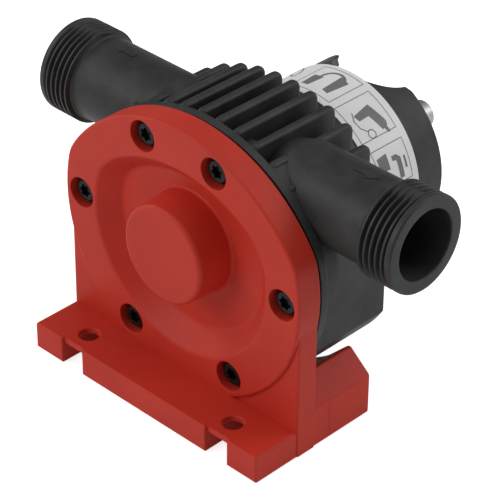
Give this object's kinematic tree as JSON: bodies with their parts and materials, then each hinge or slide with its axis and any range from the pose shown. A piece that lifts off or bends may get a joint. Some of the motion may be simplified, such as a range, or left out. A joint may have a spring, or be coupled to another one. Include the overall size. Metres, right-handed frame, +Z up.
{
  "type": "drill pump",
  "caption": "Self-priming drill pump: red cover with slotted foot and cradle, black ribbed housing with two threaded side outlets, rear skirt and a round drive shaft.",
  "frame": {"origin": "middle of the part's bounding box in X and Y, on the floor under the foot", "axes": "+X towards the right outlet, +Y from the cover towards the shaft's tip, +Z up"},
  "size_m": [0.124, 0.1084, 0.0796],
  "materials": {
    "red_plastic": "satin moulded",
    "black_plastic": "fine grained moulded",
    "gasket_rubber": "matt",
    "printed_film": "satin printed film",
    "blackened_steel": "blackened",
    "steel": "ground",
    "impeller_rubber": "matt",
    "brass": "turned",
    "bronze": "sintered",
    "nylon": "smooth",
    "sheet_steel": "pressed",
    "seal_rubber": "matt",
    "bearing_steel": "polished",
    "cage_brass": "pressed"
  },
  "bodies": {
    "pump_body": {"front_cover": "red_plastic", "cover_cradle": "red_plastic", "cover_gasket": "gasket_rubber", "pump_housing": "black_plastic", "outlet_right": "black_plastic", "outlet_left": "black_plastic", "rear_barrel": "black_plastic", "wrap_label": "printed_film", "screw_top_right": "blackened_steel", "screw_top_left": "blackened_steel", "screw_left": "blackened_steel", "screw_low_left": "blackened_steel", "screw_low_right": "blackened_steel", "screw_right": "blackened_steel", "front_bush": "bronze", "front_washer": "nylon", "rear_washer": "nylon", "seal_case": "sheet_steel", "seal_lip": "seal_rubber", "seal_spring": "steel", "bearing_outer_ring": "bearing_steel", "bearing_front_shield": "sheet_steel", "bearing_rear_shield": "sheet_steel", "bore_circlip": "blackened_steel"},
    "rotor": {"drive_shaft": "steel", "impeller": "impeller_rubber", "impeller_insert": "brass", "drive_pin": "steel", "bearing_inner_ring": "bearing_steel", "shaft_circlip": "blackened_steel"},
    "ball_set": {"bearing_balls": "bearing_steel", "bearing_cage": "cage_brass"}
  },
  "joints": [
    {"name": "shaft_spin", "type": "hinge", "parent": "pump_body", "child": "rotor", "pos_m": [0, 0.0078, 0.0451], "axis": [0, 1, 0], "continuous": true, "deforming": ["impeller"]},
    {"name": "ball_set_spin", "type": "hinge", "parent": "pump_body", "child": "ball_set", "pos_m": [0, 0.0078, 0.0451], "axis": [0, 1, 0], "continuous": true}
  ],
  "couplings": [
    {"joint": "ball_set_spin", "follows": "shaft_spin", "ratio": 0.368}
  ]
}
